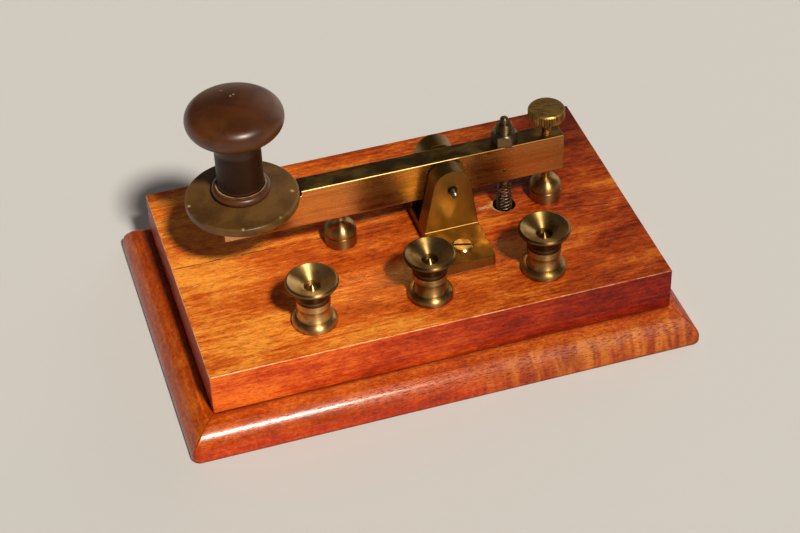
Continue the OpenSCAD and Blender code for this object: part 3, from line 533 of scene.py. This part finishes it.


# sawn and filed brass, brushed one way, browner on top: patina from hands and dust, and a painted dark
# reflection
def brushedBrass(name, brass, low, high):
    look = Look(name)
    layer = {key: look.noise(brass[key], **shape) for key, shape in filing["layers"].items()}
    brush, blotch = layer["brush"], layer["blotch"]
    scratch = look.ease(layer["scratch"], *filing["scratchIn"])
    upward = look.ease(look.facing("Z"), *filing["upwardIn"]) * brass["topPatinaAndReflection"]
    colour = look.mix(look.ease(layer["broad"], *filing["brightIn"]), brass["body"], brass["bright"])
    colour = look.mix(look.ease(blotch, *filing["spotsIn"]) * brass["spots"], colour, brass["tarnishAndShade"])
    # painted shade: darker towards the right end, where the light falls off
    if "darkens" in brass:
        along = look.ease(look.axis("X"), brass["darkens"]["from"], brass["darkens"]["to"])
        colour = look.mix(along * brass["darkens"]["by"], colour, brass["tarnishAndShade"])
    # olive on upward faces: patina, and a painted dark reflection of the room above
    colour = look.mix(upward * look.ease(blotch, *filing["oliveIn"]), colour, brass["olive"])
    lined = look.ease(brush, *filing["linesIn"]).most(scratch)
    colour = look.mix(lined * brass["lines"], colour, brass["tarnishAndShade"])
    metal = 1.0
    if "tip" in brass:                           # the end below the guard, filed bare and dull, and painted pale as a highlight
        tip = brass["tip"]
        paleTip = look.ease(look.axis("X"), *tip["x"]) * look.ease(look.axis("Z"), *tip["z"])
        paleTip = paleTip * look.ease(look.facing("Y"), *tip["facing"])
        colour = look.mix(paleTip, colour, tip["colour"])
        metal = 1.0 - paleTip * tip["dull"]
    if "stainAndPinShadow" in brass:
        # a dark spot by the pivot pin: a stain and the pin's painted shadow
        stainAndPinShadow = brass["stainAndPinShadow"]
        pinMark = look.near(stainAndPinShadow["place"], stainAndPinShadow["radius"], stainAndPinShadow["soft"]) * look.ease(blotch, *stainAndPinShadow["blotchIn"])
        colour = look.mix(pinMark * stainAndPinShadow["share"], colour, brass["tarnishAndShade"])
    edge = look.ease(look.toEdge(low, high) + blotch.swing() * filing["edgeJitter"], *filing["edge"])
    rubbed = edge * brass["rubbed"]
    if "rubEnds" in brass:                       # past the tension nut the edges are brown
        ends = brass["rubEnds"]
        kept = look.ease(look.axis("X"), ends["from"], ends["to"])
        colour = look.mix(edge * (1.0 - kept) * ends["brown"], colour, brass["tarnishAndShade"])
        rubbed = rubbed * kept
    colour = look.mix(rubbed, colour, brass["rub"])
    smear = sum(layer[key] * share for key, share in filing["smear"].items())
    rough = look.spread(look.ease(smear, *filing["smearIn"]), brass["roughness"])
    return look.dress({
        "Base Color": colour,
        "Metallic": metal,
        "Roughness": rough + upward * filing["upwardRough"] + edge * filing["edgeRough"],
        "Normal": look.bump(brush - scratch * filing["scratchDepth"], filing["depth"]),
    })


turnedBrass = {
    "bright": "#e0c084", "body": "#bc9a60", "tarnishAndShade": "#6e4e2a", "grimeAndShade": "#2c1d10",
    "blotch": {"size": (6, 6, 5), "detail": 4.0, "rough": 0.6, "twist": 0.6},
    "seed": (0.1, 2, 5),             # the first times the piece's own x, so that no two are alike
    "bodyIn": (0.36, 0.64), "spotsIn": (0.54, 0.74), "spots": 0.6,
    "ring": 0.22, "ringDetail": 2.0, "ringRough": 0.6, "ringsIn": (0.56, 0.76), "rings": 0.35, "depth": 0.008,
    "outsideIn": (0.1, 0.6), "outside": 0.12, "axis": 0.1,
    # painted shade with some dirt: under overhangs, at the foot and in the hollows
    "underIn": (0.15, -0.45), "under": 0.5,
    "footShadeAndDirt": 0.3, "foot": 0.85,
    "hollow": {"reach": 4.0, "samples": 6}, "hollowIn": (0.80, 0.30), "dirtAndShade": 0.8,
    "roughness": (0.32, 0.46), "smearIn": (0.3, 0.7),
    "streak": 0.8, "streakTurn": 0.25,
}

nutBrass = {**turnedBrass, "bright": "#f4d494", "body": "#d8b272",
            "outside": 0.80, "under": 0.95, "footShadeAndDirt": 2.4}
anvilBrass = {**turnedBrass, "bright": "#c4a46c", "outside": 0.45}
rodBrass = {**turnedBrass, "bright": "#a4967a", "body": "#776a50", "outside": 0.35}
# painted shade: darker colours for the terminals away from the left, where the light falls off
shadedTerminals = {"bright": "#c2a066", "body": "#977644", "tarnishAndShade": "#5a3e20"}


# lathe work: rings round the piece's own axis, brown patina outside, painted shade with some dirt under
# overhangs, at the foot and in the hollows
def lathedBrass(name, node, brass):
    centre = middle(node)
    bottom = boxOf(node)[0].z - centre.z
    look = Look(name, tuple(centre))
    radius, z = look.turning(), look.axis("Z")
    rings = look.rings(radius / brass["ring"], z / brass["ring"], brass["ringDetail"], brass["ringRough"])
    seedX, seedY, seedZ = brass["seed"]
    blotch = look.noise(**brass["blotch"], seed=(centre.x * seedX, seedY, seedZ))
    hollow = look.openness(**brass["hollow"])
    under = look.ease(look.facing("Z"), *brass["underIn"])
    outward = look.facing("X") * look.axis("X") + look.facing("Y") * look.axis("Y")
    outward = outward / radius.most(brass["axis"])
    foot = look.ease(z, bottom + brass["footShadeAndDirt"], bottom)
    colour = look.mix(look.ease(blotch, *brass["bodyIn"]), brass["bright"], brass["body"])
    colour = look.mix(look.ease(blotch, *brass["spotsIn"]) * brass["spots"], colour, brass["tarnishAndShade"])
    colour = look.mix(look.ease(rings, *brass["ringsIn"]) * brass["rings"], colour, brass["tarnishAndShade"])
    colour = look.mix(look.ease(outward, *brass["outsideIn"]) * brass["outside"], colour, brass["tarnishAndShade"])
    # painted shade with some dirt: under overhangs, at the foot and in the hollows
    colour = look.mix(under * brass["under"], colour, brass["grimeAndShade"])
    colour = look.mix(foot * brass["foot"], colour, brass["grimeAndShade"])
    colour = look.mix(look.ease(hollow, *brass["hollowIn"]) * brass["dirtAndShade"], colour, brass["grimeAndShade"])
    return look.dress({
        "Base Color": colour,
        "Metallic": 1.0,
        "Roughness": look.spread(look.ease(blotch, *brass["smearIn"]), brass["roughness"]),
        "Normal": look.bump(rings, brass["depth"]),
        "Anisotropic": brass["streak"],
        "Anisotropic Rotation": brass["streakTurn"],
    })


thumbBrass = {
    "bright": "#b8924e", "body": "#755628", "tarnishAndShade": "#523818", "grimeAndShade": "#2c1e0c",
    "marks": {"size": (4.5, 0.34, 4.5), "detail": 3.0, "rough": 0.6, "twist": 0.2}, "marksIn": (0.36, 0.62),
    "lean": 14, "depth": 0.10,
    "blotch": {"size": (5, 5, 4), "detail": 4.0, "rough": 0.6, "twist": 0.4, "seed": (3, 3, 1)},
    "spotsIn": (0.48, 0.72), "spots": 0.6,
    "hollow": {"reach": 1.0, "samples": 6}, "hollowIn": (0.85, 0.45), "dirtAndShade": 0.8,
    "roughness": (0.40, 0.55), "smearIn": (0.3, 0.7),
}


# the thumb screw: coarse file marks across its head
def filedBrass(name, node, brass):
    look = Look(name, tuple(middle(node)))
    lean = (0, 0, math.radians(brass["lean"]))
    look.place = look.add("Mapping", {}, {"Vector": look.place, "Rotation": lean})
    marks = look.noise(**brass["marks"])
    look.place = look.start
    blotch = look.noise(**brass["blotch"])
    hollow = look.openness(**brass["hollow"])
    colour = look.mix(look.ease(marks, *brass["marksIn"]), brass["body"], brass["bright"])
    colour = look.mix(look.ease(blotch, *brass["spotsIn"]) * brass["spots"], colour, brass["tarnishAndShade"])
    # darker where the piece closes in: painted shade, with some dirt
    colour = look.mix(look.ease(hollow, *brass["hollowIn"]) * brass["dirtAndShade"], colour, brass["grimeAndShade"])
    return look.dress({
        "Base Color": colour,
        "Metallic": 1.0,
        "Roughness": look.spread(look.ease(blotch, *brass["smearIn"]), brass["roughness"]),
        "Normal": look.bump(marks, brass["depth"]),
    })


wornSteel = {
    "bright": "#8f877b", "body": "#5f574d", "rust": "#4a3120",
    "fine": {"size": (1.2, 1.2, 0.25), "detail": 3.0, "rough": 0.6}, "brightIn": (0.35, 0.65), "depth": 0.02,
    "blotch": {"size": (3, 3, 3), "detail": 4.0, "rough": 0.65, "twist": 0.4},
    "rustIn": (0.54, 0.70), "rusty": 0.7, "scaleIn": (0.56, 0.72), "scale": 0.5,
    "roughness": (0.28, 0.5), "smearIn": (0.35, 0.7),
}


def steelFinish(name, steel):
    look = Look(name)
    fine, blotch = look.noise(**steel["fine"]), look.noise(**steel["blotch"])
    colour = look.mix(look.ease(fine, *steel["brightIn"]), steel["body"], steel["bright"])
    colour = look.mix(look.ease(blotch, *steel["rustIn"]) * steel["rusty"], colour, steel["rust"])
    return look.dress({
        "Base Color": colour,
        "Metallic": 1.0 - look.ease(blotch, *steel["scaleIn"]) * steel["scale"],
        "Roughness": look.spread(look.ease(blotch, *steel["smearIn"]), steel["roughness"]),
        "Normal": look.bump(fine, steel["depth"]),
    })


knobResin = {
    "body": "#4c260a", "deep": "#381b06", "worn": "#5e3510",
    "dirtAndShade": "#1c0b03", "nick": "#c09468", "lip": "#c8a078",
    "swirl": {"size": (10, 10, 6), "detail": 4.0, "rough": 0.6, "twist": 0.8}, "bodyIn": (0.30, 0.62),
    "speck": {"size": (0.6, 0.6, 0.6), "detail": 2.0, "rough": 0.5}, "specksIn": (0.62, 0.74), "specks": 0.2,
    "rubbed": {"size": (16, 16, 12), "detail": 3.0, "rough": 0.5, "twist": 0.3, "seed": (4, 4, 4)},
    "wornIn": (0.48, 0.72), "wornShare": 0.5,
    "scuff": {"size": (0.5, 5, 3), "detail": 3.0, "rough": 0.6, "twist": 0.4},
    "shelter": {"reach": 14.0, "samples": 8}, "shelterIn": (0.98, 0.5), "dirtAndShadeShare": 0.85,
    "neckLow": (58.0, 59.2), "neckHigh": (73.0, 71.0),
    "lipRadius": 7.9, "lipWidth": (0.42, 0.18), "lipIn": (0.25, 0.55), "lipTop": (58.4, 58.0),
    "lipFacing": (0.2, 0.6), "lipShare": 0.7,
    "nicks": [(-51.9, 10.9, 88.0, 0.5), (-49.9, 6.3, 89.1, 0.35), (-48.9, 6.9, 89.1, 0.3)],
    "nickCore": 0.6, "nicksIn": (0.34, 0.54), "nickShare": 0.8,
    "roughness": (0.33, 0.42), "smear": (0.6, 0.4), "smearIn": (0.35, 0.65), "dullRough": 0.06,
    "relief": 0.5, "depth": 0.008,
    "shine": 0.20, "coat": 0.55, "coatRough": 0.34,
}


# dark moulded resin, polished by fingers, with a few pale nicks and a rubbed lip, and painted shade on the neck
# under the cap
def moulded(name, resin):
    look = Look(name)
    x, y, z = [look.axis(letter) for letter in "XYZ"]
    swirl, speck, rubbed, scuff = [look.noise(**resin[key]) for key in ("swirl", "speck", "rubbed", "scuff")]
    colour = look.mix(look.ease(swirl, *resin["bodyIn"]), resin["deep"], resin["body"])
    colour = look.mix(look.ease(rubbed, *resin["wornIn"]) * resin["wornShare"], colour, resin["worn"])
    colour = look.mix(look.ease(speck, *resin["specksIn"]) * resin["specks"], colour, resin["worn"])
    # darker under the cap and down the neck: painted shade, with some dirt
    sheltered = look.ease(look.openness(**resin["shelter"]), *resin["shelterIn"])
    neck = look.ease(z, *resin["neckLow"]) * look.ease(z, *resin["neckHigh"])
    dull = sheltered.most(neck)
    colour = look.mix(dull * resin["dirtAndShadeShare"], colour, resin["dirtAndShade"])
    axis = middle("knob")
    fromLip = abs(distance(x - axis.x, y - axis.y) - resin["lipRadius"])
    lip = look.ease(fromLip, *resin["lipWidth"]) * look.ease(swirl, *resin["lipIn"])
    lip = lip * look.ease(z, *resin["lipTop"]) * look.ease(look.facing("Z"), *resin["lipFacing"])
    colour = look.mix(lip * resin["lipShare"], colour, resin["lip"])
    for *spot, size in resin["nicks"]:
        nick = look.near(spot, size * resin["nickCore"], size) * look.ease(speck, *resin["nicksIn"])
        colour = look.mix(nick * resin["nickShare"], colour, resin["nick"])
    smear = rubbed * resin["smear"][0] + scuff * resin["smear"][1]
    rough = look.spread(look.ease(smear, *resin["smearIn"]), resin["roughness"])
    return look.dress({
        "Base Color": colour,
        "Roughness": rough + dull * resin["dullRough"],
        "Normal": look.bump((speck + scuff) * resin["relief"], resin["depth"]),
        "Specular IOR Level": resin["shine"],
        "Coat Weight": (1.0 - dull) * resin["coat"],
        "Coat Roughness": resin["coatRough"],
    })


guardFibre = {
    "body": "#60431f", "deep": "#462e13", "faded": "#75562d", "chip": "#c0a474",
    "cloud": {"size": (11, 11, 8), "detail": 4.0, "rough": 0.58, "twist": 0.5}, "bodyIn": (0.32, 0.64),
    "speck": {"size": (0.5, 0.5, 0.5), "detail": 2.0, "rough": 0.55}, "specksIn": (0.58, 0.72), "specks": 0.35,
    "rim": (17.1, 18.0), "rimIn": (0.3, 0.6), "rimShare": 0.5, "rimRough": -0.1,
    "chips": [(-67.4, 2.7, 53.6), (-34.8, -0.8, 53.4), (-54.0, -14.3, 53.6), (-41.5, -12.4, 53.8)],
    "chipRadius": 0.35, "chipSoft": 0.6, "chipsIn": (0.36, 0.56), "chipShare": 0.85, "chipDepth": 2.0,
    "roughness": (0.40, 0.55), "smearIn": (0.3, 0.7), "depth": 0.02, "shine": 0.25,
}


# pressed fibre: faded on top, rubbed and chipped at the rim
def pressedFibre(name, node, fibre):
    centre = middle(node)
    look = Look(name, tuple(centre))
    cloud, speck = look.noise(**fibre["cloud"]), look.noise(**fibre["speck"])
    rim = look.ease(look.turning(), *fibre["rim"])
    colour = look.mix(look.ease(cloud, *fibre["bodyIn"]), fibre["deep"], fibre["body"])
    colour = look.mix(look.ease(speck, *fibre["specksIn"]) * fibre["specks"], colour, fibre["faded"])
    colour = look.mix(rim * look.ease(cloud, *fibre["rimIn"]) * fibre["rimShare"], colour, fibre["faded"])
    height = speck
    for spot in fibre["chips"]:
        chip = look.near(Vector(spot) - centre, fibre["chipRadius"], fibre["chipSoft"])
        chip = chip * look.ease(speck, *fibre["chipsIn"])
        colour = look.mix(chip * fibre["chipShare"], colour, fibre["chip"])
        height = height - chip * fibre["chipDepth"]
    rough = look.spread(look.ease(cloud, *fibre["smearIn"]), fibre["roughness"])
    return look.dress({
        "Base Color": colour,
        "Roughness": rough + rim * fibre["rimRough"],
        "Normal": look.bump(height, fibre["depth"]),
        "Specular IOR Level": fibre["shine"],
    })


fileWork = {
    "flat": 0.5, "sharp": 40, "smooth": 35,      # degrees
    "cuts": 2,
    "flatter": 90,                               # weight of the broad faces' normals
}

filedParts = {
    "block": {"body": "base", "slot": "wood_block", "width": 0.40},
    "plinth": {"body": "base", "slot": "wood_plinth", "width": 0.60},
    "lever": {"body": "lever", "slot": "brass_lever", "width": 0.22},
    "bridge": {"body": "base", "slot": "brass_bridge", "width": 0.22},
}


def giveLook(piece, material):
    piece.data.materials.clear()
    piece.data.materials.append(material)


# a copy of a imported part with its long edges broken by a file
def softened(name, part, material):
    pick(nodes[name])
    bpy.ops.object.duplicate()
    piece = bpy.context.object
    piece.name = name + "_filed"
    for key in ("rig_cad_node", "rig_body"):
        if key in piece:
            del piece[key]
    bpy.ops.object.parent_clear(type="CLEAR_KEEP_TRANSFORM")
    bpy.ops.mesh.customdata_custom_splitnormals_clear()
    bpy.ops.object.mode_set(mode="EDIT")
    bpy.ops.mesh.select_all(action="SELECT")
    bpy.ops.mesh.remove_doubles(threshold=joinWithin)
    bpy.ops.mesh.dissolve_limited(angle_limit=math.radians(fileWork["flat"]))
    bpy.ops.mesh.select_mode(type="EDGE")
    bpy.ops.mesh.select_all(action="DESELECT")
    bpy.ops.mesh.edges_select_sharp(sharpness=math.radians(fileWork["sharp"]))
    bpy.ops.mesh.bevel(offset=part["width"] * mm, segments=fileWork["cuts"], affect="EDGES")
    bpy.ops.object.mode_set(mode="OBJECT")
    bpy.ops.object.shade_smooth_by_angle(angle=math.radians(fileWork["smooth"]))
    flatter = piece.modifiers.new("flatter", "WEIGHTED_NORMAL")   # broad faces keep their own normals
    flatter.keep_sharp = True
    flatter.weight = fileWork["flatter"]
    bpy.ops.object.modifier_apply(modifier="flatter")
    giveLook(piece, material)
    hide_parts(name)
    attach(piece, part["body"])


filedLooks = {
    "block": mahogany("block_wood", blockWood, *boxOf("block")),
    "plinth": mahogany("plinth_wood", plinthWood, *boxOf("plinth")),
    "lever": brushedBrass("lever_brass", leverBrass, *boxOf("lever")),
    "bridge": brushedBrass("bridge_brass", bridgeBrass, *boxOf("bridge")),
}
for name, part in filedParts.items():
    softened(name, part, filedLooks[name])
print("edges broken")


def turnedFinish(name):
    if name in ("spring_nut", "spring_rod"):
        brass = rodBrass
    elif "anvil" in name:
        brass = anvilBrass
    else:
        brass = nutBrass if name.startswith("terminal_nut") else turnedBrass
    # painted shade: the terminals away from the left get darker colours
    if name.startswith("terminal") and not name.endswith("left"):
        brass = {**brass, **shadedTerminals}
    return lathedBrass(name + "_brass", name, brass)


for name in ("strap_front", "strap_bridge", "strap_rear"):
    giveLook(nodes[name], brushedBrass(name + "_brass", strapBrass, *boxOf(name)))
steelMetal = steelFinish("worn_steel", wornSteel)
for name in ("base_screws", "knob_stud", "pivot_pin"):
    giveLook(nodes[name], steelMetal)
for name, node in nodes.items():
    slot = node.data.materials[0].name.split(".")[0]
    if slot == "brass_turned" and name != "back_contact_screw":
        giveLook(node, turnedFinish(name))
giveLook(nodes["back_contact_screw"], filedBrass("thumb_brass", "back_contact_screw", thumbBrass))
giveLook(nodes["knob"], moulded("knob_resin_look", knobResin))
giveLook(nodes["finger_guard"], pressedFibre("guard_fibre_look", "finger_guard", guardFibre))
print("finishes on the packed parts")


springWire = {
    "wire": 0.64, "sides": 12, "turns": 11, "low": 19.1, "high": 33.6, "steps": 32,
    "radius": 2.85, "narrowing": -0.27,
    "bend": 0.6, "inSteps": 14, "bendSteps": 6, "tail": 1.3,
    "dark": "#46392d", "rub": "#8f806a",
    "fine": {"size": (0.6, 0.6, 0.6), "detail": 3.0, "rough": 0.6}, "rubIn": (0.40, 0.66),
    "roughness": (0.3, 0.5), "smearIn": (0.3, 0.7), "depth": 0.01,
}

windingSmooth = 50                   # degrees


def springFinish(name, wire):
    look = Look(name)
    fine = look.noise(**wire["fine"])
    return look.dress({
        "Base Color": look.mix(look.ease(fine, *wire["rubIn"]), wire["dark"], wire["rub"]),
        "Metallic": 1.0,
        "Roughness": look.spread(look.ease(fine, *wire["smearIn"]), wire["roughness"]),
        "Normal": look.bump(fine, wire["depth"]),
    })


# a round profile wound up an upright axis at the world's origin
def wind(sides, profile, radius, pitch, turns, steps, turn=0.0):
    pickNone()
    bpy.ops.mesh.primitive_circle_add(vertices=sides, radius=profile * mm, location=(radius * mm, 0, 0),
                                      rotation=(math.pi / 2, turn, 0))
    piece = bpy.context.object
    bpy.ops.object.transform_apply(location=True, rotation=True)
    coil = piece.modifiers.new("coil", "SCREW")
    coil.screw_offset = pitch * mm
    coil.iterations = turns
    coil.steps = coil.render_steps = steps
    bpy.ops.object.modifier_apply(modifier="coil")
    return piece


# selects the end ring of a wound wire in edit mode
def pickRing(piece, level, reach):
    pick(piece)
    bpy.ops.object.mode_set(mode="EDIT")
    bpy.ops.mesh.select_mode(type="VERT")
    bpy.ops.mesh.select_all(action="DESELECT")
    bpy.ops.object.mode_set(mode="OBJECT")
    for v in piece.data.vertices:
        v.select = v.co.x > 0 and abs(v.co.y) < joinWithin and abs(v.co.z - level) < reach
    bpy.ops.object.mode_set(mode="EDIT")


def closeAndPlace(piece, centre, low):
    bpy.ops.object.mode_set(mode="EDIT")
    bpy.ops.mesh.select_all(action="SELECT")
    bpy.ops.mesh.remove_doubles(threshold=joinWithin)
    bpy.ops.mesh.fill_holes(sides=0)
    bpy.ops.mesh.select_all(action="SELECT")
    bpy.ops.mesh.normals_make_consistent(inside=False)
    bpy.ops.transform.translate(value=(centre.x * mm, centre.y * mm, low * mm))
    bpy.ops.object.mode_set(mode="OBJECT")
    bpy.ops.object.shade_smooth_by_angle(angle=math.radians(windingSmooth))


# the pull spring: a coil that narrows upwards, each end bent in to the axis and then along it
def makeSpring(wire):
    axis = middle("spring_rod")
    rise = wire["high"] - wire["low"]
    spring = wind(wire["sides"], wire["wire"] / 2, wire["radius"], rise / wire["turns"],
                  wire["turns"], wire["steps"])
    spring.name = "pull_spring"
    taper = spring.modifiers.new("narrower", "SIMPLE_DEFORM")
    taper.deform_method = "TAPER"
    taper.deform_axis = "Z"
    taper.factor = wire["narrowing"]
    bpy.ops.object.modifier_apply(modifier="narrower")
    bend = wire["bend"] * mm
    for level, up in ((0.0, -1), (rise * mm, 1)):
        pickRing(spring, level, wire["wire"] * mm)
        reach = wire["radius"] * mm * (1 + wire["narrowing"] * (up > 0))
        bpy.ops.mesh.spin(steps=wire["inSteps"], angle=-up * math.pi,
                          center=(reach / 2, 0, level), axis=(0, 0, 1))
        bpy.ops.mesh.spin(steps=wire["bendSteps"], angle=math.pi / 2,
                          center=(0, 0, level + up * bend), axis=(1, 0, 0))
        bpy.ops.mesh.extrude_region_move(TRANSFORM_OT_translate={"value": (0, 0, up * wire["tail"] * mm)})
    closeAndPlace(spring, axis, wire["low"])
    giveLook(spring, springFinish("spring_wire_look", wire))
    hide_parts("tension_spring")
    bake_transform(spring)
    print("spring wound")


makeSpring(springWire)


screwThreads = {
    "rod_thread": {"on": "spring_rod", "body": "lever", "radius": 2.35, "low": 56.35, "pitch": 0.68, "turns": 4},
    "contact_thread": {"on": "back_contact_screw", "body": "back_contact_screw", "radius": 1.4,
                       "low": 52.5, "pitch": 0.5, "turns": 10},
}

threadForm = {"sides": 3, "ridge": 0.5, "sunk": 0.4, "steps": 36}


# the ridge of a cut thread, standing out of its plain stem
def makeThread(name, thread):
    ridge = thread["pitch"] * threadForm["ridge"]
    radius = thread["radius"] - ridge * threadForm["sunk"]
    piece = wind(threadForm["sides"], ridge, radius, thread["pitch"],
                 thread["turns"], threadForm["steps"], math.pi / 2)
    piece.name = name
    closeAndPlace(piece, middle(thread["on"]), thread["low"])
    giveLook(piece, nodes[thread["on"]].data.materials[0])
    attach(piece, thread["body"])


for name, thread in screwThreads.items():
    makeThread(name, thread)
print("threads cut")


studio = {
    "key": {"from": (0.13, -0.65, 0.76), "power": 3.9, "spread": 6, "colour": (1.0, 0.90, 0.76)},
    "fill": {"from": (0.90, 0.75, 0.36), "power": 0.5, "spread": 50, "colour": (1.0, 0.93, 0.84)},
    "world": {"colour": (1.0, 0.92, 0.83), "above": 0.06, "horizon": 0.62, "fade": (0.03, 0.19)},
    "floor": {"colour": "#cdcfd2", "size": 40.0, "roughness": (0.7, 0.9), "depth": 0.02,
              "grain": {"size": (3, 3, 3), "detail": 3.0, "rough": 0.6}},
}


def makeLamp(name, lamp):
    pickNone()
    bpy.ops.object.light_add(type="SUN", location=lamp["from"])
    made = bpy.context.object
    made.name = name
    made.data.energy = lamp["power"]
    made.data.color = lamp["colour"]
    made.data.angle = math.radians(lamp["spread"])
    made.rotation_euler = (-Vector(lamp["from"])).to_track_quat("-Z", "Y").to_euler()


# a dim room that is paler at the horizon
def makeWorld(room):
    world = bpy.data.worlds.new("studio_world")
    world.use_nodes = True
    sky = Sheet(world.node_tree)
    here = sky.add("TexCoord", {}, {}, "Generated")
    up = sky.add("SeparateXYZ", {}, {0: here}, "Z")
    low, high = room["fade"]
    strength = sky.add("MapRange", {}, {"Value": up, "From Min": low, "From Max": high,
                                        "To Min": room["horizon"], "To Max": room["above"]})
    shell = world.node_tree.nodes["Background"]
    sky.feed(shell.inputs["Color"], room["colour"] + (1.0,))
    sky.feed(shell.inputs["Strength"], strength)
    bpy.context.scene.world = world


def makeFloor(ground):
    pickNone()
    bpy.ops.mesh.primitive_plane_add(size=ground["size"], location=(0, 0, 0))
    floor = bpy.context.object
    floor.name = "floor"
    look = Look("floor_look")
    grain = look.noise(**ground["grain"])
    giveLook(floor, look.dress({
        "Base Color": ground["colour"],
        "Roughness": look.spread(grain, ground["roughness"]),
        "Normal": look.bump(grain, ground["depth"]),
    }))


makeLamp("key_lamp", studio["key"])
makeLamp("fill_lamp", studio["fill"])
makeWorld(studio["world"])
makeFloor(studio["floor"])
bpy.context.scene.view_settings.view_transform = "Standard"
print("studio lit")
